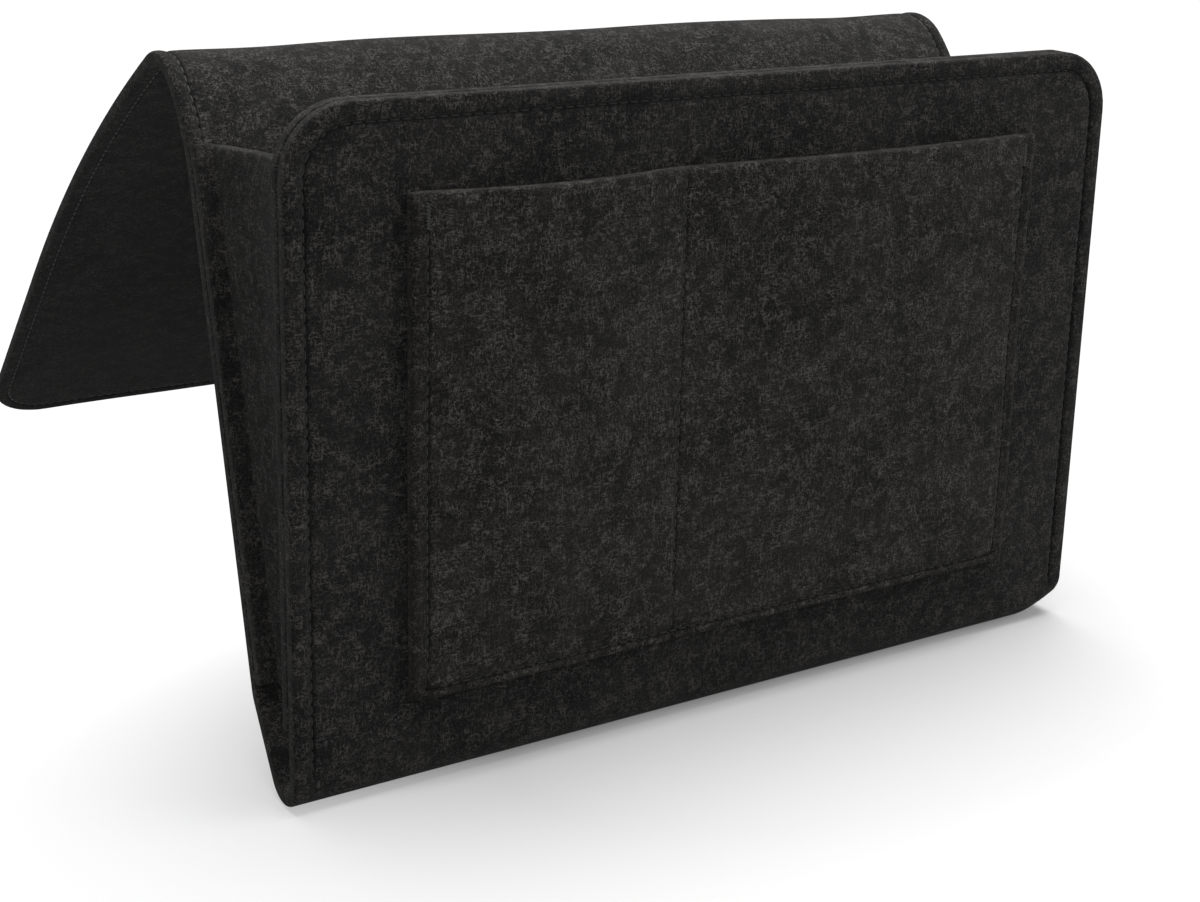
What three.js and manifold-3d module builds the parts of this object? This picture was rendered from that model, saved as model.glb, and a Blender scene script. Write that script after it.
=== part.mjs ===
// Felt bedside caddy. One long strip of felt makes an anchor flap, a crown, a leaning back, a tight
// bottom turn and a front. Two gussets close the sides, a lining doubles the front, and a patch
// pocket with two compartments is sewn onto it.
// Millimetres. X runs across the caddy, -Y is the front and +Z is up.

import * as THREE from "three";
import { mergeVertices } from "three/addons/utils/BufferGeometryUtils.js";
import Module from "manifold-3d";

// Felt, and thread that lies on it
const feltThickness = 4.8;
const layerGap = 0.3;
const threadRadius = 0.45;
const threadSides = 6;

// Side view of the strip, from the front rim down and round to the end of the flap
const caddyWidth = 320;
const rimHeight = 220.7;
const frontLean = degrees(1.8);
const bottomRadius = 8.1;
const footLength = 24.3;
const footSlope = degrees(56.2);
const kinkRadius = 12;
const backSlope = degrees(76.6);
const backLength = 161.4;
const shoulderRadius = 66;
const shoulderSlope = degrees(45.7);
const crownRadius = 18.7;
const crownEndSlope = degrees(26);
const bowRadius = 720;
const flapSlope = degrees(40.75);
const flapFlatLength = 128;

// Corners seen from the front and from above the flap
const frontCornerRadius = 22;
const flapCornerRadius = 26;

// Front lining, which ends this far above the bottom turn
const liningAboveTurn = 20.5;

// Side gussets
const gussetSetIn = 6;
const gussetTopDrop = 18.7;
const gussetFrontLength = 175;
const gussetBackStart = 2;
const gussetBackTopPastBack = 11;

// Patch pocket on the front, measured from the side edges and from the rim
const pocketLeft = 38;
const pocketRightMargin = 37;
const pocketTopDrop = 27.5;
const pocketHeight = 161.5;
const pocketGape = 7.5;
const pocketSeamInset = 6;
const pocketBottomSeamInset = 3;
const pocketSeamCorner = 5;
const dividerFromLeft = 96;
const dividerFlatHalf = 2;
const leftBayColumns = 10;
const rightBayColumns = 16;
const pocketRows = 10;

// Stitch lines
const frontStitchInset = 6.4;
const flapStitchInset = 5;
const backStitchInset = 6.4;
const stitchEndInset = 3;
const stitchStep = 6;
const bartackLength = 8;
const bartackWidth = 2;
const bartackThickness = 0.9;

// Smoothness of the bends
const bendStep = degrees(6);

const wasm = await Module();
wasm.setup();

const felt = new THREE.MeshStandardMaterial({ color: 0x3b3c3e, roughness: 0.96, metalness: 0 });
const thread = new THREE.MeshStandardMaterial({ color: 0x2b2c2e, roughness: 0.85, metalness: 0 });

function degrees(angle) {
  return THREE.MathUtils.degToRad(angle);
}

// The strip's centre line in the side view. A heading of 0 runs to the rear (+Y), and its left side
// is the inside of the pouch and the top of the flap.
class FeltLine {
  constructor(y, z, heading) {
    this.stretches = [];
    this.length = 0;
    this.tip = { y, z, heading };
  }

  add(length, turn) {
    const stretch = { start: this.length, length, turn, ...this.tip };
    this.stretches.push(stretch);
    this.length += length;
    this.tip = alongStretch(stretch, length);
    return { from: stretch.start, to: this.length };
  }

  straight(length) {
    return this.add(length, 0);
  }

  bend(radius, turn) {
    return this.add(radius * Math.abs(turn), turn);
  }

  at(station) {
    const reached = this.stretches.filter((stretch) => stretch.start <= station);
    const stretch = reached[reached.length - 1];
    return alongStretch(stretch, station - stretch.start);
  }

  // A point beside the centre line, on its left where the offset is positive
  beside(station, offset) {
    const { y, z, heading } = this.at(station);
    return new THREE.Vector2(y - offset * Math.sin(heading), z + offset * Math.cos(heading));
  }

  edge(from, to, offset) {
    return this.stations(from, to).map((station) => this.beside(station, offset));
  }

  stations(from, to) {
    const stations = [from];
    for (const { start, length, turn } of this.stretches) {
      const steps = Math.max(1, Math.ceil(Math.abs(turn) / bendStep));
      for (let step = 0; step < steps; step++) {
        const station = start + (length * step) / steps;
        if (station > from && station < to) {
          stations.push(station);
        }
      }
    }
    stations.push(to);
    return stations;
  }
}

function alongStretch({ y, z, heading, length, turn }, distance) {
  if (turn === 0) {
    return { y: y + distance * Math.cos(heading), z: z + distance * Math.sin(heading), heading };
  }
  const radius = length / turn;
  const turned = heading + distance / radius;
  return {
    y: y + radius * (Math.sin(turned) - Math.sin(heading)),
    z: z - radius * (Math.cos(turned) - Math.cos(heading)),
    heading: turned,
  };
}

// The front starts at the rim, its outer face leaning back from y = 0, and ends where the bottom turn
// brings the outer face down to z = 0
const frontHeading = frontLean - Math.PI / 2;
const halfFelt = feltThickness / 2;
const threadHeight = layerGap + threadRadius;
const rimY = halfFelt * Math.cos(frontLean);
const rimZ = rimHeight + halfFelt * Math.sin(frontLean);
const turnCentreZ = bottomRadius + halfFelt;
const frontEndZ = turnCentreZ - bottomRadius * Math.sin(frontLean);
const frontLength = (rimZ - frontEndZ) / Math.cos(frontLean);

const strip = new FeltLine(rimY, rimZ, frontHeading);
strip.straight(frontLength);
const bottom = strip.bend(bottomRadius, footSlope - frontHeading);
const foot = strip.straight(footLength);
strip.bend(kinkRadius, backSlope - footSlope);
const back = strip.straight(backLength);
const shoulder = strip.bend(shoulderRadius, shoulderSlope - backSlope);
const crown = strip.bend(crownRadius, -(shoulderSlope + crownEndSlope));
const bow = strip.bend(bowRadius, crownEndSlope - flapSlope);
const flapFlat = strip.straight(flapFlatLength);

const halfWidth = caddyWidth / 2;
const innerLayer = [halfFelt + layerGap, halfFelt + layerGap + feltThickness];
const flangeCentre = layerGap + feltThickness;

function extrudeAcross(outline, left, right) {
  const geometry = new THREE.ExtrudeGeometry(new THREE.Shape(outline), {
    depth: right - left,
    bevelEnabled: false,
  });
  const toSideView = new THREE.Matrix4().makeBasis(
    new THREE.Vector3(0, 1, 0),
    new THREE.Vector3(0, 0, 1),
    new THREE.Vector3(1, 0, 0),
  );
  return geometry.applyMatrix4(toSideView).translate(left, 0, 0);
}

function bandOutline(from, to, low, high) {
  return [...strip.edge(from, to, low), ...strip.edge(from, to, high).reverse()];
}

function bandAcross(from, to, low, high, left, right) {
  return extrudeAcross(bandOutline(from, to, low, high), left, right);
}

// Sections of the strip meet with half of the layer gap left at each end
function stripSection(from, to) {
  const endGap = layerGap / 2;
  return bandAcross(from + endGap, to - endGap, -halfFelt, halfFelt, -halfWidth, halfWidth);
}

function toManifold(geometry) {
  const bare = geometry.clone();
  bare.deleteAttribute("normal");
  bare.deleteAttribute("uv");
  const merged = mergeVertices(bare);
  return new wasm.Manifold(
    new wasm.Mesh({
      numProp: 3,
      vertProperties: merged.attributes.position.array,
      triVerts: new Uint32Array(merged.index.array),
    }),
  );
}

function toGeometry(manifold) {
  const { vertProperties, triVerts } = manifold.getMesh();
  const geometry = new THREE.BufferGeometry();
  geometry.setAttribute("position", new THREE.BufferAttribute(vertProperties, 3));
  geometry.setIndex(new THREE.BufferAttribute(triVerts, 1));
  geometry.computeVertexNormals();
  return geometry;
}

function named(name, geometry, material) {
  const mesh = new THREE.Mesh(geometry, material);
  mesh.name = name;
  return mesh;
}

// A route drawn on a flat pattern, laid onto a face of the felt
class SewnCurve extends THREE.Curve {
  constructor(route, ontoFace) {
    super();
    this.route = route;
    this.ontoFace = ontoFace;
  }

  getPoint(share) {
    const { x, y } = this.route.getPointAt(share);
    return this.ontoFace(x, y);
  }
}

// A run of stitching, as one strand of thread that lies on a face of the felt
function strand(name, route, ontoFace) {
  const corners = [];
  for (let side = 0; side < threadSides; side++) {
    const angle = (2 * Math.PI * side) / threadSides;
    corners.push(new THREE.Vector2(Math.cos(angle), Math.sin(angle)).multiplyScalar(threadRadius));
  }
  const tube = new THREE.ExtrudeGeometry(new THREE.Shape(corners), {
    steps: Math.ceil(route.getLength() / stitchStep),
    extrudePath: new SewnCurve(route, ontoFace),
  });
  return named(name, tube, thread);
}

// A U-shaped or arched route round three sides of a rectangle, with rounded corners. It starts and
// ends at openY and turns at closedY.
function threeSidedRoute(left, right, openY, closedY, corner) {
  const towards = Math.sign(closedY - openY);
  const turnY = closedY - towards * corner;
  const route = new THREE.Path();
  route.moveTo(left, openY);
  route.lineTo(left, turnY);
  route.absarc(left + corner, turnY, corner, Math.PI, (towards * Math.PI) / 2, towards > 0);
  route.lineTo(right - corner, closedY);
  route.absarc(right - corner, turnY, corner, (towards * Math.PI) / 2, 0, towards > 0);
  route.lineTo(right, openY);
  return route;
}

// Places for thread on the curved strip: x across, y the distance along it, on its left or right face
function stripFace(side) {
  return (x, station) => {
    const place = strip.beside(station, side * (halfFelt + threadHeight));
    return new THREE.Vector3(x, place.x, place.y);
  };
}

// Places for thread on a face parallel to the front, measured up from the rim
function frontFace(outward) {
  return (x, up) => new THREE.Vector3(x, up, outward + threadHeight);
}

function straightRun(name, x, from, to, ontoFace) {
  const route = new THREE.Path();
  route.moveTo(x, from);
  route.lineTo(x, to);
  return strand(name, route, ontoFace);
}

function frontOutline() {
  const shape = new THREE.Shape();
  const cornerX = halfWidth - frontCornerRadius;
  shape.moveTo(-halfWidth, layerGap / 2 - frontLength);
  shape.lineTo(halfWidth, layerGap / 2 - frontLength);
  shape.absarc(cornerX, -frontCornerRadius, frontCornerRadius, 0, Math.PI / 2, false);
  shape.absarc(-cornerX, -frontCornerRadius, frontCornerRadius, Math.PI / 2, Math.PI, false);
  return shape;
}

// The lining is full width above the gussets and lies between their flanges below
function liningOutline() {
  const shape = new THREE.Shape();
  const cornerX = halfWidth - frontCornerRadius;
  const stepUp = layerGap - gussetTopDrop;
  const stepAngle = Math.asin((stepUp + frontCornerRadius) / frontCornerRadius);
  const betweenFlanges = halfWidth - gussetSetIn - feltThickness - layerGap;
  const liningLength = frontLength - liningAboveTurn;
  shape.moveTo(-betweenFlanges, -liningLength);
  shape.lineTo(betweenFlanges, -liningLength);
  shape.lineTo(betweenFlanges, stepUp);
  shape.absarc(cornerX, -frontCornerRadius, frontCornerRadius, stepAngle, Math.PI / 2, false);
  shape.absarc(
    -cornerX, -frontCornerRadius, frontCornerRadius, Math.PI / 2, Math.PI - stepAngle, false,
  );
  shape.lineTo(-betweenFlanges, stepUp);
  return shape;
}

function frontSheet(outline) {
  const sheet = new THREE.ExtrudeGeometry(outline, { depth: feltThickness, bevelEnabled: false });
  return sheet.translate(0, 0, -halfFelt);
}

// The patch is sewn flat at its sides, bottom and divider, and its two mouths gape forward
const pocketRight = halfWidth - pocketRightMargin;
const pocketEdgeX = pocketLeft - halfWidth;
const dividerX = pocketEdgeX + dividerFromLeft;
const pocketFace = halfFelt + layerGap;

// Columns and rows of the patch's surface: a flat margin under each seam, then even steps between
const flatMargin = pocketSeamInset + 2 * threadRadius;
const leftBay = { start: pocketEdgeX + flatMargin, end: dividerX - dividerFlatHalf };
const rightBay = { start: dividerX + dividerFlatHalf, end: pocketRight - flatMargin };
const bayBottom = pocketBottomSeamInset + 2 * threadRadius;

function evenSteps({ start, end }, steps) {
  return Array.from({ length: steps + 1 }, (_, step) => start + ((end - start) * step) / steps);
}

function gapeAt(x, up) {
  const { start, end } = x < dividerX ? leftBay : rightBay;
  const across = THREE.MathUtils.clamp((x - start) / (end - start), 0, 1);
  const risen = THREE.MathUtils.clamp((up - bayBottom) / (pocketHeight - bayBottom), 0, 1);
  return pocketGape * Math.sin(Math.PI * across) * Math.sin((Math.PI / 2) * risen);
}

function patchGeometry() {
  const columns = [
    pocketEdgeX,
    ...evenSteps(leftBay, leftBayColumns),
    ...evenSteps(rightBay, rightBayColumns),
    pocketRight,
  ];
  const rows = [0, ...evenSteps({ start: bayBottom, end: pocketHeight }, pocketRows)];
  const geometry = new THREE.BoxGeometry(1, 1, feltThickness, columns.length - 1, rows.length - 1, 1);
  const place = geometry.attributes.position;
  for (let index = 0; index < place.count; index++) {
    const column = Math.round((place.getX(index) + 1 / 2) * (columns.length - 1));
    const row = Math.round((place.getY(index) + 1 / 2) * (rows.length - 1));
    const rearFace = pocketFace + feltThickness / 2 + gapeAt(columns[column], rows[row]);
    place.setXYZ(
      index, columns[column], rows[row] - pocketTopDrop - pocketHeight, place.getZ(index) + rearFace,
    );
  }
  return geometry;
}

function bartack(name, x) {
  const tack = new THREE.BoxGeometry(bartackWidth, bartackLength, bartackThickness);
  const mesh = named(name, tack, thread);
  mesh.position.set(
    x,
    -pocketTopDrop - stitchEndInset - bartackLength / 2,
    pocketFace + feltThickness + layerGap + bartackThickness / 2,
  );
  return mesh;
}

const stitchX = halfWidth - frontStitchInset;
const frontStitch = strand(
  "front_topstitch",
  threeSidedRoute(
    -stitchX,
    stitchX,
    stitchEndInset - frontLength,
    -frontStitchInset,
    frontCornerRadius - frontStitchInset,
  ),
  frontFace(halfFelt),
);

const onPocket = frontFace(pocketFace + feltThickness);
const pocketSeamLeft = pocketEdgeX + pocketSeamInset;
const pocketSeamRight = pocketRight - pocketSeamInset;
const pocketSeamBottom = pocketBottomSeamInset - pocketTopDrop - pocketHeight;
const pocketSeamTop = -pocketTopDrop - stitchEndInset;
const pocketStitch = strand(
  "pocket_seam",
  threeSidedRoute(
    pocketSeamLeft,
    pocketSeamRight,
    pocketSeamTop - bartackLength - layerGap,
    pocketSeamBottom,
    pocketSeamCorner,
  ),
  onPocket,
);
const dividerStitch = straightRun(
  "pocket_divider_seam", dividerX, pocketSeamBottom + 2 * threadRadius + layerGap, pocketSeamTop, onPocket,
);

function frontPieces() {
  const panel = named("front_panel", frontSheet(frontOutline()), felt);
  const lining = named("front_lining", frontSheet(liningOutline()), felt);
  const pocket = named("patch_pocket", patchGeometry(), felt);
  lining.position.z = -flangeCentre;

  const group = new THREE.Group();
  group.position.set(0, rimY, rimZ);
  group.rotation.x = frontHeading + Math.PI;
  group.add(panel, lining, pocket, frontStitch, pocketStitch, dividerStitch);
  group.add(bartack("bartack_left", pocketSeamLeft), bartack("bartack_right", pocketSeamRight));
  return group;
}

// A gusset is a web between the front and the back with a flange turned outward along each of them.
// Its bottom ends above the turn, which leaves a cable outlet.
const gussetFront = { from: gussetTopDrop, to: gussetTopDrop + gussetFrontLength };
const gussetBack = { from: back.from + gussetBackStart, to: back.to + gussetBackTopPastBack };

function gusset(name, side) {
  const across = (near, far) => [side * near, side * far].sort((a, b) => a - b);
  const webFace = halfWidth - gussetSetIn;
  const web = extrudeAcross(
    [
      ...strip.edge(gussetFront.from, gussetFront.to, flangeCentre),
      ...strip.edge(gussetBack.from, gussetBack.to, flangeCentre),
    ],
    ...across(webFace, webFace - feltThickness),
  );
  const flanges = [gussetFront, gussetBack].map(({ from, to }) =>
    bandAcross(from, to, ...innerLayer, ...across(halfWidth, webFace - feltThickness)));
  const joined = flanges.reduce((body, flange) => body.add(toManifold(flange)), toManifold(web));
  return named(name, toGeometry(joined), felt);
}

// The flap's end has rounded corners, cut square to its flat stretch
function flapGeometry() {
  const section = stripSection(bow.from, flapFlat.to + layerGap / 2);
  const { y, z, heading } = strip.at(flapFlat.to);
  const flapLength = flapFlat.to - bow.from;
  const cornerX = halfWidth - flapCornerRadius;
  const outline = new THREE.Shape();
  outline.moveTo(-halfWidth, flapLength);
  outline.lineTo(-halfWidth, flapCornerRadius);
  outline.absarc(-cornerX, flapCornerRadius, flapCornerRadius, Math.PI, 1.5 * Math.PI, false);
  outline.absarc(cornerX, flapCornerRadius, flapCornerRadius, 1.5 * Math.PI, 2 * Math.PI, false);
  outline.lineTo(halfWidth, flapLength);
  const prism = new THREE.ExtrudeGeometry(outline, { depth: flapLength, bevelEnabled: false });
  prism.translate(0, 0, -flapLength / 2).rotateX(heading + Math.PI).translate(0, y, z);
  return toGeometry(toManifold(section).intersect(toManifold(prism)));
}

const flapStitchX = halfWidth - flapStitchInset;
const flapStitch = strand(
  "flap_topstitch",
  threeSidedRoute(
    -flapStitchX,
    flapStitchX,
    bow.from + layerGap,
    flapFlat.to - flapStitchInset,
    flapCornerRadius - flapStitchInset,
  ),
  stripFace(1),
);

// The edge stitch over the crown runs on its upper face, from the flap's stitch down to the gussets.
// The stitch that holds a gusset shows on the rear face of the back.
const backStitchX = halfWidth - backStitchInset;
const shoulderStitchEnd = gussetBack.to + stitchEndInset;
const crownStitches = [
  straightRun("crown_seam_left", -flapStitchX, shoulderStitchEnd, crown.to, stripFace(1)),
  straightRun("crown_seam_right", flapStitchX, shoulderStitchEnd, crown.to, stripFace(1)),
];
const backStitches = [
  straightRun("back_seam_left", -backStitchX, foot.to, gussetBack.to, stripFace(-1)),
  straightRun("back_seam_right", backStitchX, foot.to, gussetBack.to, stripFace(-1)),
];

// The origin is on the underside of the flap, in the middle of its flat stretch
const mountStation = (flapFlat.from + flapFlat.to) / 2;
const mountPlace = strip.beside(mountStation, -halfFelt);

const caddy = new THREE.Group();
caddy.position.set(0, -mountPlace.x, -mountPlace.y);
caddy.add(named("anchor_flap", flapGeometry(), felt));
caddy.add(named("crown_fold", stripSection(crown.from, crown.to), felt));
caddy.add(named("back_panel", stripSection(foot.from, shoulder.to), felt));
caddy.add(named("bottom_fold", stripSection(bottom.from, bottom.to), felt));
caddy.add(flapStitch, ...crownStitches, ...backStitches);
caddy.add(gusset("gusset_left", -1), gusset("gusset_right", 1));
caddy.add(frontPieces());

export default caddy;
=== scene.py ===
import math

import bmesh
import bpy
from mathutils import Matrix, Vector, noise


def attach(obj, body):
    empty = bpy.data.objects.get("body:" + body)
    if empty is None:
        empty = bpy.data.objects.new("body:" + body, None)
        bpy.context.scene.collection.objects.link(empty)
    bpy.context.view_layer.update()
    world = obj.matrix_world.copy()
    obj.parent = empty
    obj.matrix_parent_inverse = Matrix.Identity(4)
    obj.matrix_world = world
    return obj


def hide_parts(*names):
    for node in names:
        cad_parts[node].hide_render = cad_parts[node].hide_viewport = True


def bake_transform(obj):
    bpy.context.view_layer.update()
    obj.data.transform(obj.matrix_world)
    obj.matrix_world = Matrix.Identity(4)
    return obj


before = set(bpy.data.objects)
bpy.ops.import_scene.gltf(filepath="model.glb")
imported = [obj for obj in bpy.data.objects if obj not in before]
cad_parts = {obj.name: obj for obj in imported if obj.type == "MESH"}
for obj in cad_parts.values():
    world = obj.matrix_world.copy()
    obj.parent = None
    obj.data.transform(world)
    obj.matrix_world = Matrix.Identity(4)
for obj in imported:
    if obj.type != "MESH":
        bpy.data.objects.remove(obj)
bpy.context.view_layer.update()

# Body strip, upper part: one die-cut length of thick charcoal wool felt. It is the anchor flap that
# goes under the mattress, the crown over the bed's edge and the leaning back of the pouch. Its cut
# edges are left raw, and a topstitch presses a shallow channel into it all round.
MM = 0.001
MOUNT_Y, MOUNT_Z = 316.29136, 76.35495
FELT = 4.8
HALF_FELT = FELT / 2
HALF_WIDTH = 160
EDGE_ROUND = 1.0
EDGE_SHARES = (0, 0.06, 0.17, 0.4, 1)
GRID_STEP = 4.0
FLAP_STITCH_INSET = 5.0
SEAM_INSET = 6.4
FLAP_CORNER = 26
RIM_CORNER = 22
CREASE_ANGLE = math.radians(55)
CHANNEL_MARGIN = 8
CHANNEL_OFFSETS = (-2.6, -1.7, -1.1, -0.7, -0.35, 0, 0.35, 0.7, 1.1, 1.7, 2.8, 5, CHANNEL_MARGIN)
BEFORE_CHANNEL = 2.2
PULL_WIDTH = 0.6
PULL_SHARE, PULL_REACH = 0.3, 2.6
PUFF_SHARE, PUFF_PLACE, PUFF_WIDTH = 0.3, 2.9, 1.5
GROOVE_WIDTH = 0.55
WAVE_ACROSS, WAVE_ALONG = 85, 70
WAVE_HELD, WAVE_FREE = 2, 45

# The strip's course in the side view, from the front rim to the flap's end. Slopes are in degrees.
FRONT_LEAN, RIM_HEIGHT = 1.8, 220.7
TURN_RADIUS = 8.1
FOOT_SLOPE, FOOT_LENGTH = 56.2, 24.3
KINK_RADIUS = 12
BACK_SLOPE, BACK_LENGTH = 76.6, 161.4
SHOULDER_SLOPE, SHOULDER_RADIUS = 45.7, 66
CROWN_END_SLOPE, CROWN_RADIUS = 26, 18.7
BOW_RADIUS = 720
FLAP_SLOPE, FLAP_FLAT_LENGTH = 40.75, 128
BUTT_PAST_TURN = 10
GUSSET_PAST_BACK = 11
SEAM_CHANGE_PAST_GUSSET = 1.5


class FeltLine:
    """The strip's centre line seen from the side, measured from the front rim round to the flap's end.
    A heading of 0 runs to the rear, and its left side is inside the pouch and on top of the flap."""

    def __init__(self, y, z, heading):
        self.stretches = []
        self.length = 0
        self.tip = (y, z, heading)

    def add(self, length, turn=0):
        stretch = (self.length, length, turn, self.tip)
        self.stretches.append(stretch)
        self.length += length
        self.tip = self.along(stretch, length)
        return self.length

    def bend(self, radius, turn):
        return self.add(radius * abs(turn), turn)

    def along(self, stretch, distance):
        start, length, turn, (y, z, heading) = stretch
        if turn == 0:
            return (y + distance * math.cos(heading), z + distance * math.sin(heading), heading)
        radius = length / turn
        turned = heading + distance / radius
        return (
            y + radius * (math.sin(turned) - math.sin(heading)),
            z - radius * (math.cos(turned) - math.cos(heading)),
            turned,
        )

    def at(self, station):
        stretch = [one for one in self.stretches if one[0] <= station or one[0] == 0][-1]
        return self.along(stretch, station - stretch[0])

    def place(self, x, station, height):
        """A place in the scene, a height to the left of the centre line."""
        y, z, heading = self.at(station)
        y -= height * math.sin(heading)
        z += height * math.cos(heading)
        return Vector((x, y - MOUNT_Y, z - MOUNT_Z)) * MM

    def inward(self, station):
        heading = self.at(station)[2]
        return Vector((0, -math.sin(heading), math.cos(heading)))


front_heading = math.radians(FRONT_LEAN - 90)
foot_slope, back_slope = math.radians(FOOT_SLOPE), math.radians(BACK_SLOPE)
shoulder_slope, crown_end_slope = math.radians(SHOULDER_SLOPE), math.radians(CROWN_END_SLOPE)
flap_slope = math.radians(FLAP_SLOPE)
rim_y = -HALF_FELT * math.sin(front_heading)
rim_z = RIM_HEIGHT + HALF_FELT * math.cos(front_heading)
front_end_z = TURN_RADIUS + HALF_FELT - TURN_RADIUS * math.cos(front_heading)
line = FeltLine(rim_y, rim_z, front_heading)
front_end = line.add((rim_z - front_end_z) / -math.sin(front_heading))
bottom_end = line.bend(TURN_RADIUS, foot_slope - front_heading)
foot_end = line.add(FOOT_LENGTH)
kink_end = line.bend(KINK_RADIUS, back_slope - foot_slope)
back_end = line.add(BACK_LENGTH)
shoulder_end = line.bend(SHOULDER_RADIUS, shoulder_slope - back_slope)
crown_end = line.bend(CROWN_RADIUS, -(shoulder_slope + crown_end_slope))
line.bend(BOW_RADIUS, crown_end_slope - flap_slope)
flap_end = line.add(FLAP_FLAT_LENGTH)
butt_station = bottom_end + BUTT_PAST_TURN
gusset_back_top = back_end + GUSSET_PAST_BACK
seam_change = gusset_back_top + SEAM_CHANGE_PAST_GUSSET


def smooth_step(low, high, value):
    """A share that eases from 0 at low to 1 at high."""
    share = min(max((value - low) / (high - low), 0), 1)
    return share * share * (3 - 2 * share)


def steps_between(marks, step):
    """The marks, with even steps of at most one step's length between them."""
    marks = sorted(marks)
    places = [marks[0]]
    for low, high in zip(marks, marks[1:]):
        count = max(1, math.ceil((high - low) / step))
        places += [low + (high - low) * k / count for k in range(1, count + 1)]
    return [a for a, b in zip(places, places[1:] + [math.inf]) if b - a > step / 100]


def edge_marks(inset):
    """Distances from a cut edge: close round the edge and in the stitched channel, then wider."""
    close = [EDGE_ROUND * share for share in EDGE_SHARES]
    return close + [BEFORE_CHANNEL] + [inset + offset for offset in CHANNEL_OFFSETS]


def corner_rows(radius):
    """Distances from a cut end that follow its rounded corners."""
    return [radius * (1 - math.cos(math.radians(angle))) for angle in range(0, 91, 9)]


def half_width_at(from_end, radius):
    """Half the felt's width, which its rounded corners narrow near a cut end."""
    if from_end >= radius:
        return HALF_WIDTH
    return HALF_WIDTH - radius + math.sqrt(max(radius ** 2 - (radius - from_end) ** 2, 0))


def edge_distance(x, from_end, radius):
    """How far a place on the felt is from its cut edge, with the rounded corners at one end."""
    side = HALF_WIDTH - abs(x)
    if side < radius and from_end < radius:
        return radius - math.hypot(radius - side, radius - from_end)
    return min(side, from_end)


def squeezed(column, half_width, margin):
    """Moves a column of the full width to a narrower row, keeping its distance from a near edge."""
    side = HALF_WIDTH - abs(column)
    if side < margin:
        return math.copysign(half_width - side, column)
    return column * (half_width - margin) / (HALF_WIDTH - margin)


def edge_drop(distance):
    """How far the face falls away at a cut edge."""
    short = max(EDGE_ROUND - max(distance, 0), 0)
    return EDGE_ROUND - math.sqrt(max(EDGE_ROUND ** 2 - short ** 2, 0))


def channel_drop(distance, inset, depth):
    """How far a stitch line pulls the face down, with the felt puffed a little on either side."""
    off = distance - inset
    pulled = depth * math.exp(-((off / PULL_WIDTH) ** 2))
    pulled += PULL_SHARE * depth * math.exp(-abs(off) / PULL_REACH)
    puffed = PUFF_SHARE * depth * math.exp(-(((off + PUFF_PLACE) / PUFF_WIDTH) ** 2))
    return pulled - puffed


def groove_shade(distance, inset):
    """How much painted shade falls in the narrow groove of a stitch line, darkening the felt there."""
    return math.exp(-(((distance - inset) / GROOVE_WIDTH) ** 2))


def waviness(x, along, size):
    """The slow unevenness of felt that has hung and been handled."""
    near_edge = smooth_step(WAVE_HELD, WAVE_FREE, HALF_WIDTH - abs(x))
    return near_edge * size * noise.noise(Vector((x / WAVE_ACROSS, along / WAVE_ALONG, size)))


def felt_sheet(name, columns, rows, place):
    """A watertight sheet of felt: a grid and its thickness. For each column, row and side, place gives the
    point and how much painted shade darkens the felt there, from 0 in the open to 1 in a groove."""
    sheet = bmesh.new()
    # This float attribute holds painted shade: how far the felt's colour is darkened at each point.
    painted_shade = sheet.verts.layers.float.new("painted_shade")
    across, along = len(columns) - 1, len(rows) - 1
    bmesh.ops.create_grid(sheet, x_segments=across, y_segments=along, size=1)
    bmesh.ops.solidify(sheet, geom=sheet.faces[:], thickness=1)
    for point in sheet.verts:
        column = columns[round((point.co.x + 1) / 2 * across)]
        row = rows[round((point.co.y + 1) / 2 * along)]
        point.co, point[painted_shade] = place(column, row, 1 if abs(point.co.z) > 0.5 else -1)
    return finished(name, sheet)


def finished(name, mesh):
    """Makes a mesh an object, smooth but for its creases."""
    bmesh.ops.recalc_face_normals(mesh, faces=mesh.faces[:])
    for face in mesh.faces:
        face.smooth = True
    for edge in mesh.edges:
        if len(edge.link_faces) == 2 and edge.calc_face_angle(0) > CREASE_ANGLE:
            edge.smooth = False
    data = bpy.data.meshes.new(name)
    mesh.to_mesh(data)
    mesh.free()
    piece = bpy.data.objects.new(name, data)
    bpy.context.collection.objects.link(piece)
    return piece


def mirrored_marks(distances):
    """The same distances in from the left and the right edge, as places across."""
    return [-HALF_WIDTH + d for d in distances] + [HALF_WIDTH - d for d in distances]


class Shade:
    """A shader socket that takes part in sums, products and differences."""

    def __init__(self, tree, socket):
        self.tree = tree
        self.socket = socket

    def maths(self, operation, first, second):
        return Nodes(self.tree).add("ShaderNodeMath", {"operation": operation}, {0: first, 1: second})

    def __add__(self, other):
        return self.maths("ADD", self, other)

    __radd__ = __add__

    def __mul__(self, other):
        return self.maths("MULTIPLY", self, other)

    __rmul__ = __mul__

    def __sub__(self, other):
        return self.maths("SUBTRACT", self, other)

    def __rsub__(self, other):
        return self.maths("SUBTRACT", other, self)


class Nodes:
    """Adds nodes to a tree, with their settings first and then the values or links of their sockets."""

    def __init__(self, tree):
        self.tree = tree

    def add(self, kind, settings=None, inputs=None, output=0):
        node = self.tree.nodes.new(kind)
        for name, value in (settings or {}).items():
            if name == "stops":
                for number, (position, level) in enumerate(value):
                    stops = node.color_ramp.elements
                    stop = stops[number] if number < len(stops) else stops.new(position)
                    stop.position = position
                    stop.color = grey(level)
            else:
                setattr(node, name, value)
        for name, value in (inputs or {}).items():
            if isinstance(value, Shade):
                self.tree.links.new(value.socket, node.inputs[name])
            else:
                node.inputs[name].default_value = value
        return Shade(self.tree, node.outputs[output]) if node.outputs else None


def grey(level):
    return (level, level, level, 1)


def new_material(name):
    material = bpy.data.materials.new(name)
    material.use_nodes = True
    material.node_tree.nodes.clear()
    return material, Nodes(material.node_tree)


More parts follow.
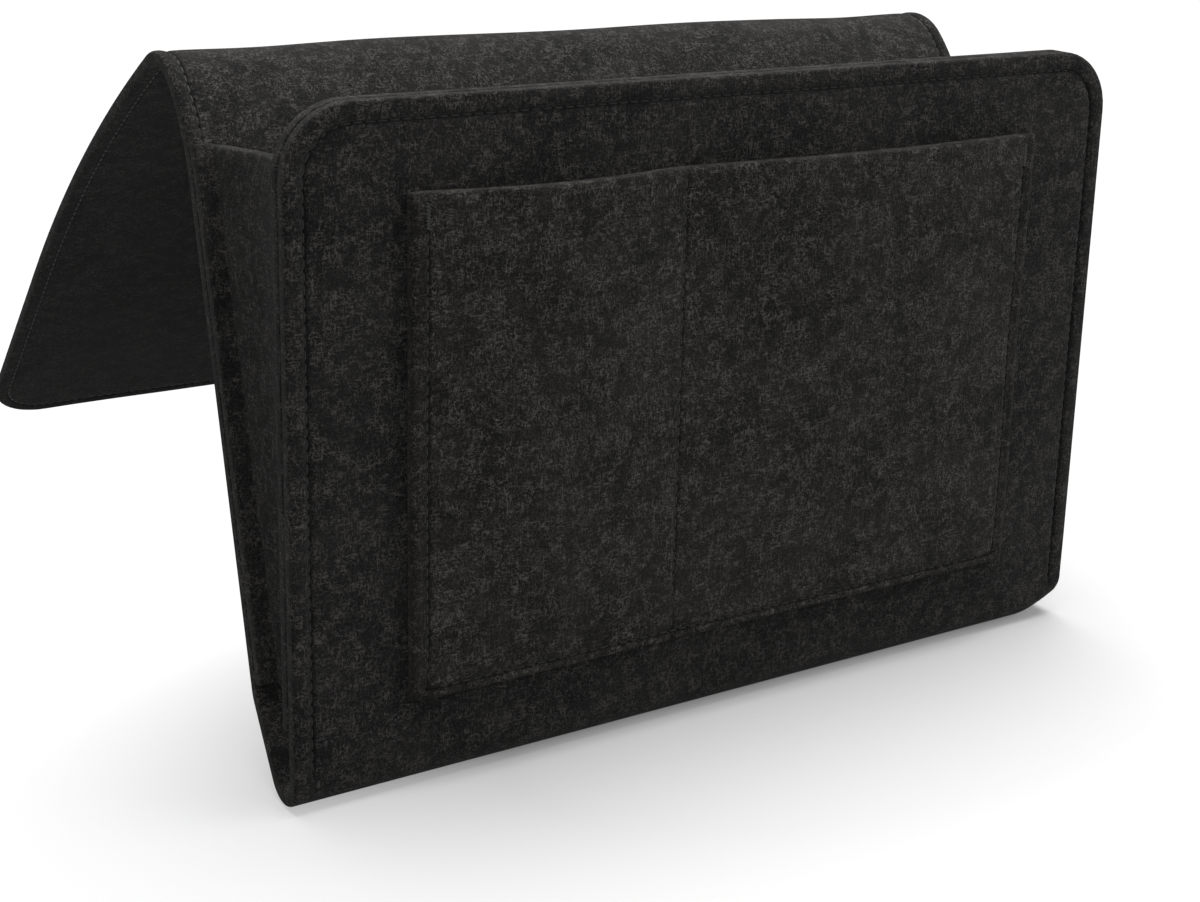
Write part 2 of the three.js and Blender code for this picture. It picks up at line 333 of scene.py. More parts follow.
FIBRE_TURNS = [
    ((0.3, 0.2, 0.5), (1600.0, 420.0, 1400.0)),
    ((0.9, -0.4, 1.9), (1500.0, 1400.0, 400.0)),
    ((-0.5, 1.1, 2.7), (400.0, 1450.0, 1550.0)),
    ((1.4, 0.6, -0.8), (1450.0, 410.0, 1500.0)),
]
DARK_WOOL = (0.0038, 0.0036, 0.0035)
PALE_WOOL = (0.065, 0.0612, 0.0588)
BODY_FLECKS = 0.60
MATTING_SCALE, CLUMP_SCALE, PATCH_SCALE = 640.0, 190.0, 46.0


def felt_material(name, dark, light, fleck_amount, offset):
    """Heathered wool felt: a dark ground of matted wool, with paler fibres, clumps and patches."""
    material, nodes = new_material(name)
    where = nodes.add("ShaderNodeTexCoord", output="Object")
    moved = nodes.add(
        "ShaderNodeMapping", {"vector_type": "POINT"}, {"Vector": where, "Location": offset}
    )

    def cloud(scale, detail, roughness, distortion=0.0, vector=moved):
        return nodes.add(
            "ShaderNodeTexNoise",
            {"noise_dimensions": "3D"},
            {"Vector": vector, "Scale": scale, "Detail": detail, "Roughness": roughness,
             "Distortion": distortion},
        )

    def ramp(value, *stops):
        return nodes.add("ShaderNodeValToRGB", {"stops": stops}, {"Fac": value})

    fibres = []
    for turn, stretch in FIBRE_TURNS:
        turned = nodes.add(
            "ShaderNodeMapping", {"vector_type": "POINT"},
            {"Vector": moved, "Rotation": turn, "Scale": stretch},
        )
        streak = cloud(1.0, 1.5, 0.5, 0.9, turned)
        fibres.append(ramp(streak, (0.59, 0), (0.64, 1)))
    flecks = sum(fibres[1:], fibres[0])
    matting = cloud(MATTING_SCALE, 1.5, 0.55, 0.9)
    clumps = cloud(CLUMP_SCALE, 2.0, 0.55, 0.6)
    patches = cloud(PATCH_SCALE, 3.0, 0.55)
    open_wool = ramp(clumps, (0.40, 0.25), (0.60, 1))
    # Painted shade: the sheet's attribute darkens the felt by up to nine tenths in stitch grooves and on
    # the pocket's pressed margin.
    painted_shade = nodes.add("ShaderNodeAttribute", {"attribute_name": "painted_shade"}, output=2)
    level = (
        ramp(matting, (0.48, 0), (0.61, 1)) * open_wool * 0.14
        + ramp(patches, (0.40, 0), (0.60, 1)) * 0.08
        + flecks * open_wool * fleck_amount
    ) * (1 - painted_shade * 0.9)
    colour = nodes.add(
        "ShaderNodeMix", {"data_type": "RGBA"}, {0: level, 6: (*dark, 1), 7: (*light, 1)}, output=2
    )
    surface = matting * 0.7 + flecks * 0.4 + clumps * 0.9
    bump = nodes.add(
        "ShaderNodeBump", {}, {"Strength": 0.55, "Distance": 0.0006, "Height": surface}
    )
    shader = nodes.add(
        "ShaderNodeBsdfPrincipled", {},
        {"Base Color": colour, "Roughness": 0.97, "Specular IOR Level": 0.12, "Sheen Weight": 0.04,
         "Sheen Roughness": 0.6, "Sheen Tint": (0.8, 0.79, 0.78, 1), "Normal": bump},
    )
    nodes.add("ShaderNodeOutputMaterial", {}, {"Surface": shader})
    return material


body_felt = felt_material("charcoal_felt", DARK_WOOL, PALE_WOOL, BODY_FLECKS, (0.0, 0.0, 0.0))

KINK_STEPS, SHOULDER_STEPS, CROWN_STEPS = 5, 12, 18
CHANNEL_FADE = 3
SETTLED_LENGTH = 60
BACK_WAVE = 1.3
upper_rows = steps_between(
    [butt_station, foot_end, back_end, gusset_back_top, seam_change, shoulder_end, crown_end]
    + [foot_end + (kink_end - foot_end) * k / KINK_STEPS for k in range(1, KINK_STEPS + 1)]
    + [back_end + (shoulder_end - back_end) * k / SHOULDER_STEPS for k in range(1, SHOULDER_STEPS)]
    + [shoulder_end + (crown_end - shoulder_end) * k / CROWN_STEPS for k in range(1, CROWN_STEPS)]
    + [flap_end - d for d in corner_rows(FLAP_CORNER) + edge_marks(FLAP_STITCH_INSET)],
    GRID_STEP,
)
upper_columns = steps_between(
    mirrored_marks(edge_marks(FLAP_STITCH_INSET) + [SEAM_INSET + 0.7]), GRID_STEP
)
FLAP_CHANNEL, BACK_CHANNEL = 0.85, 0.6


def upper_strip_place(column, station, side):
    from_end = flap_end - station
    margin = FLAP_STITCH_INSET + CHANNEL_MARGIN
    x = squeezed(column, half_width_at(from_end, FLAP_CORNER), margin)
    distance = edge_distance(x, from_end, FLAP_CORNER)
    crown_share = smooth_step(seam_change - CHANNEL_FADE, seam_change + CHANNEL_FADE, station)
    # Painted shade in the flap's and the back's stitch grooves.
    flap_groove = crown_share * groove_shade(distance, FLAP_STITCH_INSET)
    if side > 0:
        channel = crown_share * channel_drop(distance, FLAP_STITCH_INSET, FLAP_CHANNEL)
        painted_shade = flap_groove
    else:
        risen = smooth_step(foot_end - CHANNEL_FADE, foot_end + CHANNEL_FADE, station)
        seamed = risen * (1 - crown_share)
        channel = seamed * channel_drop(distance, SEAM_INSET, BACK_CHANNEL)
        channel += crown_share * channel_drop(distance, FLAP_STITCH_INSET, BACK_CHANNEL)
        painted_shade = max(flap_groove, seamed * groove_shade(distance, SEAM_INSET))
    settled = smooth_step(butt_station, butt_station + SETTLED_LENGTH, station)
    wave = settled * waviness(x, station, BACK_WAVE)
    height = side * (HALF_FELT - edge_drop(distance) - channel) + wave
    return line.place(x, station, height), painted_shade


upper_strip = felt_sheet("felt_flap_and_back", upper_columns, upper_rows, upper_strip_place)
upper_strip.data.materials.append(body_felt)
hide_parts("anchor_flap", "crown_fold", "back_panel")
flap_corner_loss = (2 - math.pi / 2) * FLAP_CORNER ** 2
upper_length = flap_end - butt_station
upper_length * MM
(2 * HALF_WIDTH * upper_length - flap_corner_loss) * MM ** 2
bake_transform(upper_strip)

# Body strip, lower part: the same length of felt, carried on round the tight bottom turn and up the
# front to the rim. The two parts meet flush in the flat foot, where nothing bends.
TURN_STEPS = 26
lower_rows = steps_between(
    [0, front_end, bottom_end, butt_station]
    + [front_end + (bottom_end - front_end) * k / TURN_STEPS for k in range(1, TURN_STEPS)]
    + corner_rows(RIM_CORNER) + edge_marks(SEAM_INSET),
    GRID_STEP,
)
lower_columns = steps_between(mirrored_marks(edge_marks(SEAM_INSET)), GRID_STEP)
FRONT_WAVE = 0.9
WAVE_FADES_FROM, WAVE_FADES_TO = 70, 10
SEAM_FADES_FROM, SEAM_FADES_TO = 6, 1
FRONT_CHANNEL = 1.15
CORNER_LIFT = 5.8
CORNER_REACH = 17
CORNER_CURVE = 1.4
LIFT_FROM, LIFT_TO = 24, 2
DROP_FROM, DROP_TO = 8, 1


def front_wave(x, station):
    fading = 1 - smooth_step(front_end - WAVE_FADES_FROM, front_end - WAVE_FADES_TO, station)
    return fading * waviness(x, station, FRONT_WAVE)


def corner_lift(x, station):
    """How far the seam pulls up the right end of the bottom turn."""
    across = max(x - HALF_WIDTH + CORNER_REACH, 0) / CORNER_REACH
    risen = smooth_step(front_end - LIFT_FROM, front_end + LIFT_TO, station)
    fallen = smooth_step(bottom_end - DROP_FROM, butt_station - DROP_TO, station)
    return CORNER_LIFT * across ** CORNER_CURVE * risen * (1 - fallen)


def lower_strip_place(column, station, side):
    x = squeezed(column, half_width_at(station, RIM_CORNER), SEAM_INSET + CHANNEL_MARGIN)
    distance = edge_distance(x, station, RIM_CORNER)
    if side < 0:
        ended = 1 - smooth_step(front_end - SEAM_FADES_FROM, front_end + SEAM_FADES_TO, station)
        channel = ended * channel_drop(distance, SEAM_INSET, FRONT_CHANNEL)
        # Painted shade in the front's stitch groove.
        painted_shade = ended * groove_shade(distance, SEAM_INSET)
    else:
        channel = painted_shade = 0
    height = side * (HALF_FELT - edge_drop(distance) - channel)
    point = line.place(x, station, height + front_wave(x, station))
    return point + Vector((0, 0, corner_lift(x, station) * MM)), painted_shade


lower_strip = felt_sheet("felt_bottom_and_front", lower_columns, lower_rows, lower_strip_place)
lower_strip.data.materials.append(body_felt)
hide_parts("bottom_fold", "front_panel")
rim_corner_loss = (2 - math.pi / 2) * RIM_CORNER ** 2
butt_station * MM
(2 * HALF_WIDTH * butt_station - rim_corner_loss) * MM ** 2
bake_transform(lower_strip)

# Front lining: a second layer of the same felt behind the front. It runs full width at the rim, so
# the rim shows two cut edges, and lies between the gussets' flanges lower down.
LAYER = 5.1
GUSSET_DROP = 18.7
LINING_HALF = 148.9
LINING_ABOVE_TURN = 20.5
LINING_CHANNEL = 0.7
lining_end = front_end - LINING_ABOVE_TURN
LINING_STEP = (GUSSET_DROP - 1.1, GUSSET_DROP - 0.35)
lining_rows = steps_between(
    [0, *LINING_STEP, lining_end, lining_end - 0.4, lining_end - 1]
    + corner_rows(RIM_CORNER)[:-1] + [d for d in edge_marks(SEAM_INSET) if d < LINING_STEP[0]],
    GRID_STEP,
)


def lining_place(column, station, side):
    half = half_width_at(station, RIM_CORNER)
    half -= (half - LINING_HALF) * smooth_step(*LINING_STEP, station)
    x = squeezed(column, half, SEAM_INSET + CHANNEL_MARGIN)
    from_rim = edge_distance(x, station, RIM_CORNER)
    distance = min(from_rim, lining_end - station, half - abs(x))
    height = side * (HALF_FELT - edge_drop(distance))
    painted_shade = 0
    if side > 0:
        above = 1 - smooth_step(*LINING_STEP, station)
        height -= above * channel_drop(from_rim, SEAM_INSET, LINING_CHANNEL)
        # Painted shade in the lining's stitch groove at the rim.
        painted_shade = above * groove_shade(from_rim, SEAM_INSET)
    return line.place(x, station, LAYER + height + front_wave(x, station)), painted_shade


lining = felt_sheet("felt_front_lining", lower_columns, lining_rows, lining_place)
lining.data.materials.append(body_felt)
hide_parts("front_lining")
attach(lining, "front")
lining_area = 2 * LINING_HALF * lining_end + 2 * (HALF_WIDTH - LINING_HALF) * LINING_STEP[0]
lining_end * MM
(lining_area - rim_corner_loss) * MM ** 2

# Side gussets: one felt web on each side, its two long edges folded outwards and sewn in, one
# between the edge of the front and the lining's side, the other against the back.
WEB_X = 151.6
SEWN_LAYER = 4.7
FOLD_RADIUS = 3.0
WEB_BOW = 3.0
LOWER_BOW_SHARE = 0.25
GUSSET_LENGTH = 170
GUSSET_FRONT_EDGE = 175
GUSSET_PAST_KINK = 2
GUSSET_STEP_SHARE = 0.025
FLANGE_REACH_SHARE = 0.98
gusset_front_rows = (GUSSET_DROP, GUSSET_DROP + GUSSET_FRONT_EDGE)
gusset_back_rows = (kink_end + GUSSET_PAST_KINK, gusset_back_top)
gusset_ends = [0.15, 0.4, 1, GUSSET_LENGTH - 1, GUSSET_LENGTH - 0.4, GUSSET_LENGTH - 0.15]
gusset_shares = steps_between([0, 1] + [end / GUSSET_LENGTH for end in gusset_ends], GUSSET_STEP_SHARE)
FLANGE_STEPS = (0, 0.15, 0.4, 1, 2, 3, 4, 5)
FOLD_STEPS = 6
WEB_STEPS = 14
gusset_columns = (
    [("front", step) for step in FLANGE_STEPS]
    + [("front_fold", k / FOLD_STEPS) for k in range(FOLD_STEPS + 1)]
    + [("web", k / WEB_STEPS) for k in range(1, WEB_STEPS)]
    + [("back_fold", k / FOLD_STEPS) for k in range(FOLD_STEPS + 1)]
    + [("back", step) for step in reversed(FLANGE_STEPS)]
)
ACROSS = Vector((1, 0, 0))


def gusset_place_on(hand):
    """The place function of the left gusset, hand -1, or of the right one, hand 1."""
    def gusset_place(column, share, side):
        stretch, amount = column
        front_station = gusset_front_rows[1] + (gusset_front_rows[0] - gusset_front_rows[1]) * share
        back_station = gusset_back_rows[0] + (gusset_back_rows[1] - gusset_back_rows[0]) * share
        front_corner = line.place(WEB_X, front_station, SEWN_LAYER)
        back_corner = line.place(WEB_X, back_station, SEWN_LAYER)
        web = (back_corner - front_corner).normalized()
        front_side = -line.inward(front_station)
        back_side = -line.inward(back_station)
        fold = FOLD_RADIUS * MM
        flange_tip = (HALF_WIDTH - WEB_X) * MM
        distance = min(share, 1 - share) * GUSSET_LENGTH
        if stretch in ("front", "back"):
            on_front_edge = stretch == "front"
            corner, facing = (front_corner, front_side) if on_front_edge else (back_corner, back_side)
            reach = flange_tip - (flange_tip - fold) * amount / FLANGE_STEPS[-1] * FLANGE_REACH_SHARE
            point = corner + ACROSS * reach
            distance = min(distance, (flange_tip - reach) / MM)
        elif stretch == "front_fold":
            angle = amount * math.pi / 2
            point = front_corner + fold * (ACROSS + web - web * math.cos(angle) - ACROSS * math.sin(angle))
            facing = front_side * math.cos(angle) - ACROSS * math.sin(angle)
        elif stretch == "back_fold":
            angle = amount * math.pi / 2
            point = back_corner + fold * (ACROSS - web + web * math.sin(angle) - ACROSS * math.cos(angle))
            facing = back_side * math.sin(angle) - ACROSS * math.cos(angle)
        else:
            start, finish = front_corner + fold * web, back_corner - fold * web
            point = start.lerp(finish, amount)
            bow_share = LOWER_BOW_SHARE + (1 - LOWER_BOW_SHARE) * share
            bow = WEB_BOW * MM * math.sin(math.pi * amount) ** 2 * bow_share
            point = point - ACROSS * bow
            facing = -ACROSS
        point = point + facing.normalized() * side * (HALF_FELT - edge_drop(distance)) * MM
        return Vector((hand * point.x, point.y, point.z)), 0
    return gusset_place


for hand, side_name in ((-1, "left"), (1, "right")):
    gusset = felt_sheet(
        f"felt_gusset_{side_name}", gusset_columns, gusset_shares, gusset_place_on(hand)
    )
    gusset.data.materials.append(body_felt)
    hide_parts(f"gusset_{side_name}")
    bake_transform(gusset)

# Patch pocket: one rectangle of a slightly paler, more mottled felt on the outside of the front. It
# is sewn round three sides and down the divider, and its two mouths gape forward a little.
POCKET_LEFT, POCKET_RIGHT = -122.0, 123.0
POCKET_TOP, POCKET_HEIGHT = 27.5, 161.5
POCKET_SEAM, POCKET_FOOT_SEAM = 5.2, 3.0
SIDE_CHANNEL, FOOT_CHANNEL, DIVIDER_CHANNEL = 0.95, 1.0, 0.6
MARGIN_PRESSED = 0.8
DIVIDER_X = -26.0
LEFT_GAPE, RIGHT_GAPE = 5.5, 3.6
GAPE_FROM_SIDE, GAPE_FROM_DIVIDER, GAPE_FROM_FOOT = 6.9, 2, 3.9
DIVIDER_OFFSETS = (-5, -3, -1.8, -1.1, -0.6, -0.3, 0, 0.3, 0.6, 1.1, 1.8, 3, 5)
POCKET_STEP = 3.2
MOUTH_MARGIN = 3
MOUTH_FADE = (-1, 2)
SIDE_STARTS, SIDE_FADE = 1, 3
FOOT_FADE, MARGIN_FADE = 2, 1.5
# Painted shade: how dark the divider's groove and the pressed margin outside the pocket's seam are
# painted.
DIVIDER_SHADE, MARGIN_SHADE = 0.8, 0.3
POCKET_DARK_WOOL = (0.0038, 0.0036, 0.0033)
POCKET_PALE_WOOL = (0.081, 0.0770, 0.0694)
POCKET_FLECKS = 0.62
POCKET_FELT_OFFSET = (0.41, 0.13, 0.27)
pocket_columns = steps_between(
    [POCKET_LEFT + d for d in edge_marks(POCKET_SEAM)]
    + [POCKET_RIGHT - d for d in edge_marks(POCKET_SEAM)]
    + [DIVIDER_X + d for d in DIVIDER_OFFSETS],
    POCKET_STEP,
)
pocket_rows = steps_between(
    [POCKET_HEIGHT - EDGE_ROUND * share for share in EDGE_SHARES] + edge_marks(POCKET_FOOT_SEAM),
    POCKET_STEP,
)


def pocket_gape(x, up):
    """How far the pocket stands forward, most in the middle of each mouth."""
    if x < DIVIDER_X:
        low, high, gape = POCKET_LEFT + GAPE_FROM_SIDE, DIVIDER_X - GAPE_FROM_DIVIDER, LEFT_GAPE
    else:
        low, high, gape = DIVIDER_X + GAPE_FROM_DIVIDER, POCKET_RIGHT - GAPE_FROM_SIDE, RIGHT_GAPE
    across = min(max((x - low) / (high - low), 0), 1)
    risen = min(max((up - GAPE_FROM_FOOT) / (POCKET_HEIGHT - GAPE_FROM_FOOT), 0), 1)
    return gape * math.sin(math.pi * across) * math.sin(math.pi / 2 * risen)


def pocket_place(x, up, side):
    sides = min(x - POCKET_LEFT, POCKET_RIGHT - x)
    distance = min(sides, up, POCKET_HEIGHT - up)
    height = side * (HALF_FELT - edge_drop(distance))
    station = POCKET_TOP + POCKET_HEIGHT - up
    painted_shade = 0
    if side > 0:
        within = smooth_step(*MOUTH_FADE, POCKET_HEIGHT - MOUTH_MARGIN - up)
        at_sides = within * smooth_step(0, SIDE_FADE, up - SIDE_STARTS)
        at_foot = smooth_step(POCKET_SEAM - FOOT_FADE, POCKET_SEAM, sides)
        margin = 1 - smooth_step(POCKET_SEAM - MARGIN_FADE, POCKET_SEAM, sides)
        height -= at_sides * channel_drop(sides, POCKET_SEAM, SIDE_CHANNEL)
        height -= at_foot * channel_drop(up, POCKET_FOOT_SEAM, FOOT_CHANNEL)
        height -= within * channel_drop(abs(x - DIVIDER_X), 0, DIVIDER_CHANNEL)
        height -= MARGIN_PRESSED * margin
        # Painted shade in the pocket's seam grooves, down the divider and on the pressed margin.
        painted_shade = max(
            at_sides * groove_shade(sides, POCKET_SEAM),
            at_foot * groove_shade(up, POCKET_FOOT_SEAM),
            DIVIDER_SHADE * within * groove_shade(x, DIVIDER_X),
            MARGIN_SHADE * margin,
        )
    out = LAYER + pocket_gape(x, up) + height
    return line.place(x, station, front_wave(x, station) - out), painted_shade


pocket_felt = felt_material(
    "charcoal_felt_pocket", POCKET_DARK_WOOL, POCKET_PALE_WOOL, POCKET_FLECKS, POCKET_FELT_OFFSET
)
pocket = felt_sheet("felt_patch_pocket", pocket_columns, pocket_rows, pocket_place)
pocket.data.materials.append(pocket_felt)
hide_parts("patch_pocket")
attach(pocket, "front")

# Stitching: one size of dark polyester thread in a lockstitch. Each stitch is a short length of
# thread that dips into the felt at both ends, at the bottom of the channel that it has pulled.
STITCH_PITCH = 3.9
STITCH_HALF = 1.62
THREAD_RADIUS = 0.36
BEAD_SIDES, BEAD_RINGS = 6, 5
PLY_SCALE = 2600.0
DARK_THREAD = (0.008, 0.0078, 0.0076, 1)
PALE_THREAD = (0.034, 0.0330, 0.0322, 1)
FRONT_STITCH_STOP = 3
FLAP_STITCH_START = 0.3
CROWN_STITCH_START = 1.5
POCKET_SEAM_STOP, POCKET_SEAM_CORNER = 11.5, 5
DIVIDER_STITCH_START = 1.5


def thread_material():
    material, nodes = new_material("dark_thread")
    where = nodes.add("ShaderNodeTexCoord", output="Object")
    ply = nodes.add(
        "ShaderNodeTexNoise", {"noise_dimensions": "3D"},
        {"Vector": where, "Scale": PLY_SCALE, "Detail": 2.0, "Roughness": 0.5, "Distortion": 0.8},
    )
    colour = nodes.add(
        "ShaderNodeMix", {"data_type": "RGBA"},
        {0: ply, 6: DARK_THREAD, 7: PALE_THREAD}, output=2,
    )
    bump = nodes.add("ShaderNodeBump", {}, {"Strength": 0.5, "Distance": 0.0002, "Height": ply})
    shader = nodes.add(
        "ShaderNodeBsdfPrincipled", {},
        {"Base Color": colour, "Roughness": 0.62, "Specular IOR Level": 0.35, "Normal": bump},
    )
    nodes.add("ShaderNodeOutputMaterial", {}, {"Surface": shader})
    return material


thread = thread_material()


def even_points(corners, pitch):
    """Points at even steps along a line of corners."""
    lengths = [(b - a).length for a, b in zip(corners, corners[1:])]
    total = sum(lengths)
    count = round(total / pitch)
    points = []
    for number in range(count + 1):
        left = total * number / count
        for (a, b), length in zip(zip(corners, corners[1:]), lengths):
            if left <= length + 1e-6:
                points.append(a.lerp(b, left / length))
                break
            left -= length
    return points


def three_sided(left, right, open_at, closed_at, corner):
    """An arched route with rounded corners, from one open end over the shut side to the other."""
    towards = math.copysign(1, closed_at - open_at)
    turn_at = closed_at - towards * corner
    angles = [math.radians(angle) for angle in range(0, 91, 10)]
    first = [Vector((left + corner * (1 - math.cos(a)), turn_at + towards * corner * math.sin(a), 0))
             for a in angles]
    last = [Vector((left + right - point.x, point.y, 0)) for point in reversed(first)]
    return [Vector((left, open_at, 0)), *first, *last, Vector((right, open_at, 0))]


def add_bead(run, a, b, half_length):
    """Lays one slim bead of thread along the line from a to b, about its middle."""
    turn = (b - a).to_track_quat("X", "Z").to_matrix().to_4x4()
    slim = Matrix.Diagonal((half_length * MM, THREAD_RADIUS * MM, THREAD_RADIUS * MM, 1))
    bmesh.ops.create_uvsphere(
        run, u_segments=BEAD_SIDES, v_segments=BEAD_RINGS, radius=1,
        matrix=Matrix.Translation((a + b) / 2) @ turn @ slim @ Matrix.Rotation(math.pi / 2, 4, "Y"),
    )


def thread_piece(name, run):
    piece = finished(name, run)
    piece.data.materials.append(thread)
    return piece


def stitches(name, route, lay):
    """A run of stitches, each a bead of thread laid between two needle holes."""
    run = bmesh.new()
    points = even_points(route, STITCH_PITCH)
    for start, finish in zip(points, points[1:]):
        add_bead(run, lay(start.x, start.y), lay(finish.x, finish.y), STITCH_HALF)
    return thread_piece(name, run)


def sunk(channel):
    """How deep the thread's middle lies at the bottom of a stitch line's channel."""
    return 1.3 * channel - 0.15


def on_front(x, station):
    return line.place(x, station, front_wave(x, station) - HALF_FELT + sunk(FRONT_CHANNEL))


front_stitches = stitches(
    "stitches_front",
    three_sided(
        -HALF_WIDTH + SEAM_INSET, HALF_WIDTH - SEAM_INSET, front_end - FRONT_STITCH_STOP,
        SEAM_INSET, RIM_CORNER - SEAM_INSET,
    ),
    on_front,
)
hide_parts("front_topstitch")
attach(front_stitches, "front")


def on_flap(x, station):
    return line.place(x, station, waviness(x, station, BACK_WAVE) + HALF_FELT - sunk(FLAP_CHANNEL))


def under_flap(x, station):
    return line.place(x, station, waviness(x, station, BACK_WAVE) - HALF_FELT + sunk(BACK_CHANNEL))


flap_side = HALF_WIDTH - FLAP_STITCH_INSET
flap_route = three_sided(
    -flap_side, flap_side, crown_end + FLAP_STITCH_START,
    flap_end - FLAP_STITCH_INSET, FLAP_CORNER - FLAP_STITCH_INSET,
)
flap_stitches = stitches("stitches_flap", flap_route, on_flap)
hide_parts("flap_topstitch")
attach(flap_stitches, "flap")
flap_under_stitches = stitches("stitches_flap_underside", flap_route, under_flap)
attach(flap_under_stitches, "flap")

for hand, side_name in ((-1, "left"), (1, "right")):
    crown_route = [
        Vector((hand * flap_side, station, 0))
        for station in (seam_change + CROWN_STITCH_START, shoulder_end, crown_end)
    ]
    crown_stitches = stitches(f"stitches_crown_{side_name}", crown_route, on_flap)
    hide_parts(f"crown_seam_{side_name}")
    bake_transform(crown_stitches)

    back_route = [
        Vector((hand * (HALF_WIDTH - SEAM_INSET), station, 0))
        for station in (foot_end, gusset_back_top)
    ]
    back_stitches = stitches(f"stitches_back_{side_name}", back_route, under_flap)
    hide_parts(f"back_seam_{side_name}")
    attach(back_stitches, "back")


def on_pocket(x, up, channel=FOOT_CHANNEL):
    station = POCKET_TOP + POCKET_HEIGHT - up
    return line.place(x, station, front_wave(x, station) - LAYER - HALF_FELT + sunk(channel))


def on_divider(x, up):
    return on_pocket(x, up, DIVIDER_CHANNEL)


pocket_stitches = stitches(
    "stitches_pocket",
    three_sided(
        POCKET_LEFT + POCKET_SEAM, POCKET_RIGHT - POCKET_SEAM, POCKET_HEIGHT - POCKET_SEAM_STOP,
        POCKET_FOOT_SEAM, POCKET_SEAM_CORNER,
    ),
    on_pocket,
)
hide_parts("pocket_seam")
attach(pocket_stitches, "front")
divider_stitches = stitches(
    "stitches_divider",
    [
        Vector((DIVIDER_X, POCKET_FOOT_SEAM + DIVIDER_STITCH_START, 0)),
        Vector((DIVIDER_X, POCKET_HEIGHT - MOUTH_MARGIN, 0)),
    ],
    on_divider,
)
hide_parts("pocket_divider_seam")
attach(divider_stitches, "front")

# Bar tacks: a dense patch of short stitches across the seam at each end of the pocket's mouth, which
# takes the pull of a full pocket.
TACK_LENGTH = 8.0
TACK_WIDTH = 2.0
TACK_THREADS = 15
TACK_SINK = 0.55
TACK_SLANT = 0.35
for hand, side_name in ((-1, "left"), (1, "right")):
    tack_x = POCKET_LEFT + POCKET_SEAM if hand < 0 else POCKET_RIGHT - POCKET_SEAM
    tack = bmesh.new()
    for number in range(TACK_THREADS):
        up = POCKET_HEIGHT - MOUTH_MARGIN - TACK_LENGTH * (number + 0.5) / TACK_THREADS
        slant = TACK_SLANT if number % 2 else -TACK_SLANT
        a = on_pocket(tack_x - TACK_WIDTH / 2, up - slant, TACK_SINK)
        b = on_pocket(tack_x + TACK_WIDTH / 2, up + slant, TACK_SINK)
        add_bead(tack, a, b, TACK_WIDTH / 2)
    tack_piece = thread_piece(f"bartack_{side_name}_threads", tack)
    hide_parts(f"bartack_{side_name}")
    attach(tack_piece, "front")

# Stand-in studio: a white floor that runs on as the backdrop, a broad lamp above, and two weak
# ones from the sides. The floor keeps the soft shadow under the pouch and fades to plain white
# round it.
FLOOR_HALF = 4.0
FLOOR_GAP = 0.0004
FLOOR_GREY, BOUNCE_GREY = 0.66, 0.30
FLOOR_GLOW, GLOW_SHARE = 1.05, 0.12
SHADOW_FADE = 0.6
AMBIENT, BACKDROP = 0.13, 1.0
SHADOW_PLACE = (0.05, -0.33, 0)
SHADOW_REACH = (0.36, 0.19, 1)
floor_z = -MOUNT_Z * MM
floor_mesh = bmesh.new()
bmesh.ops.create_grid(
    floor_mesh, x_segments=1, y_segments=1, size=FLOOR_HALF,
    matrix=Matrix.Translation((0, 0, floor_z - FLOOR_GAP)),
)
floor_data = bpy.data.meshes.new("floor")
floor_mesh.to_mesh(floor_data)
floor_mesh.free()
floor = bpy.data.objects.new("floor", floor_data)
bpy.context.collection.objects.link(floor)
floor_material, floor_nodes = new_material("white_floor")
seen = floor_nodes.add("ShaderNodeLightPath", output="Is Camera Ray")
glossed = floor_nodes.add("ShaderNodeLightPath", output="Is Glossy Ray")
direct = seen + glossed
where = floor_nodes.add("ShaderNodeTexCoord", output="Object")
spread = floor_nodes.add(
    "ShaderNodeMapping", {"vector_type": "TEXTURE"},
    {"Vector": where, "Location": SHADOW_PLACE, "Scale": SHADOW_REACH},
)
near = floor_nodes.add("ShaderNodeTexGradient", {"gradient_type": "SPHERICAL"}, {"Vector": spread})
shown = floor_nodes.add("ShaderNodeValToRGB", {"stops": ((0, 0), (SHADOW_FADE, 1))}, {"Fac": near})
matt = floor_nodes.add("ShaderNodeBsdfDiffuse", {}, {"Color": grey(BOUNCE_GREY)})
white = floor_nodes.add("ShaderNodeBsdfDiffuse", {}, {"Color": grey(FLOOR_GREY)})
glow = floor_nodes.add("ShaderNodeEmission", {}, {"Color": grey(1), "Strength": FLOOR_GLOW})
shadowed = floor_nodes.add("ShaderNodeMixShader", {}, {0: GLOW_SHARE, 1: white, 2: glow})
pale = floor_nodes.add("ShaderNodeMixShader", {}, {0: shown, 1: glow, 2: shadowed})
floor_mix = floor_nodes.add("ShaderNodeMixShader", {}, {0: direct, 1: matt, 2: pale})
floor_nodes.add("ShaderNodeOutputMaterial", {}, {"Surface": floor_mix})
floor_data.materials.append(floor_material)

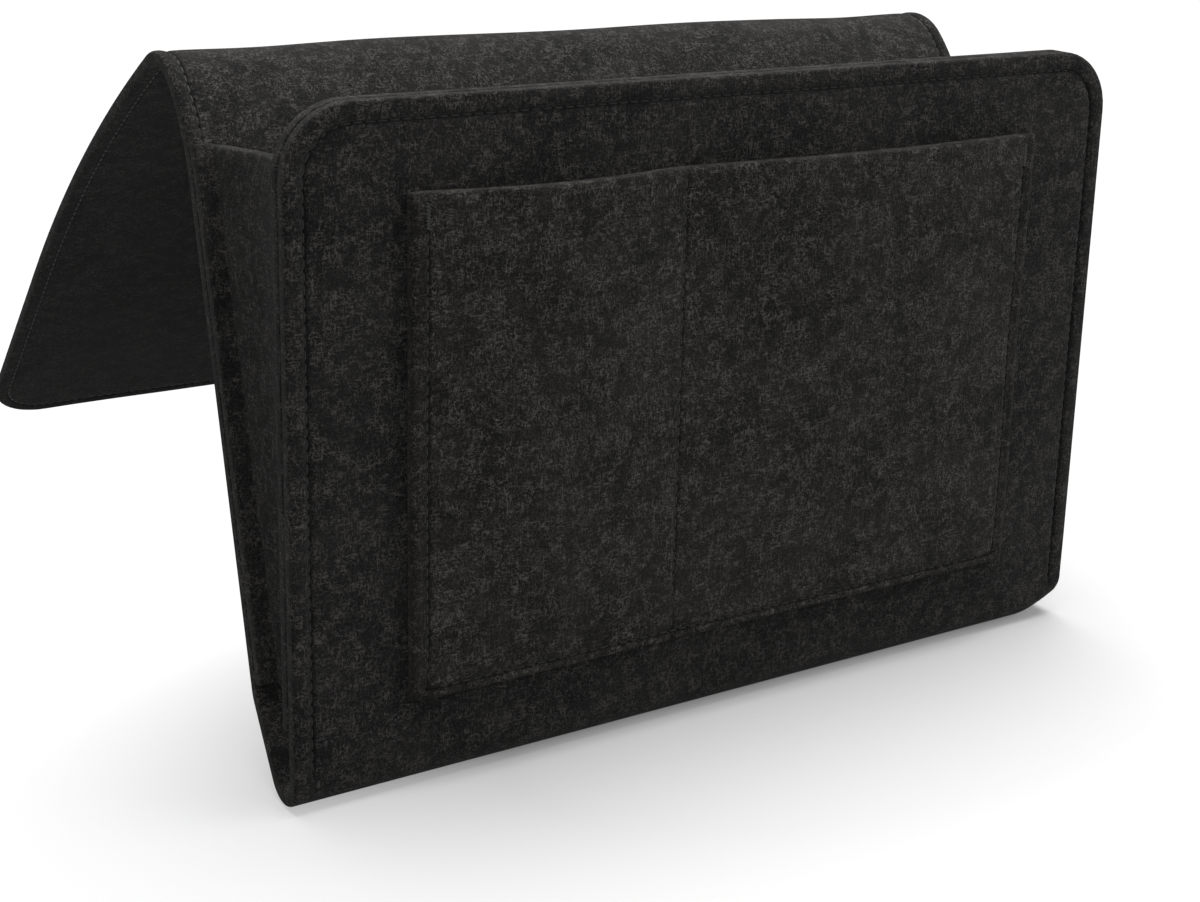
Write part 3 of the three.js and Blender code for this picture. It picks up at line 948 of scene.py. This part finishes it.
world = bpy.data.worlds.new("studio")
bpy.context.scene.world = world
world.use_nodes = True
world.node_tree.nodes.clear()
sky = Nodes(world.node_tree)
sky_seen = sky.add("ShaderNodeLightPath", output="Is Camera Ray")
ambient = sky.add("ShaderNodeBackground", {}, {"Color": grey(1), "Strength": AMBIENT})
plain = sky.add("ShaderNodeBackground", {}, {"Color": grey(1), "Strength": BACKDROP})
sky_mix = sky.add("ShaderNodeMixShader", {}, {0: sky_seen, 1: ambient, 2: plain})
sky.add("ShaderNodeOutputWorld", {}, {"Surface": sky_mix})


def lamp(name, place, towards, size, power):
    data = bpy.data.lights.new(name, "AREA")
    data.shape = "DISK"
    data.size = size
    data.energy = power
    light = bpy.data.objects.new(name, data)
    light.location = place
    light.rotation_euler = (Vector(towards) - Vector(place)).to_track_quat("-Z", "Y").to_euler()
    bpy.context.collection.objects.link(light)


lamp("overhead", place=(0.2, -0.1, 1.5), towards=(0, -0.1, 0), size=1.8, power=47)
lamp("right_fill", place=(1.2, -1.3, 0.8), towards=(0, -0.2, 0), size=1.0, power=9)
lamp("left_fill", place=(-0.9, -1.6, 0.6), towards=(0, -0.2, 0), size=0.9, power=7)

# Camera, at the photograph's viewing angle: in front, to the left and a little above the rim. Its
# place and turn come from a perspective fit to the felt's corners and edges.
IMAGE_WIDTH, IMAGE_HEIGHT = 1200, 902
CAMERA_PLACE = (-360.65, -497.64, 292.08)
CAMERA_TURN = 0.5497
CAMERA_PITCH = 0.2375
CAMERA_ROLL = 0.00664
FOCAL_PIXELS = 1914.4
AXIS_ROW = 307
SENSOR = 36
camera_data = bpy.data.cameras.new("camera")
camera = bpy.data.objects.new("camera", camera_data)
bpy.context.collection.objects.link(camera)
camera_data.sensor_width = SENSOR
camera_data.lens = FOCAL_PIXELS / IMAGE_WIDTH * SENSOR
camera_data.shift_y = -(IMAGE_HEIGHT / 2 - AXIS_ROW) / IMAGE_WIDTH
x, y, z = CAMERA_PLACE
camera.location = Vector((x, y - MOUNT_Y, z - MOUNT_Z)) * MM
facing = Vector((
    math.sin(CAMERA_TURN) * math.cos(CAMERA_PITCH),
    math.cos(CAMERA_TURN) * math.cos(CAMERA_PITCH),
    -math.sin(CAMERA_PITCH),
))
camera.rotation_mode = "QUATERNION"
level = facing.to_track_quat("-Z", "Y")
camera.rotation_quaternion = (level.to_matrix() @ Matrix.Rotation(CAMERA_ROLL, 3, "Z")).to_quaternion()
bpy.context.scene.camera = camera
bpy.context.scene.view_settings.view_transform = "Standard"
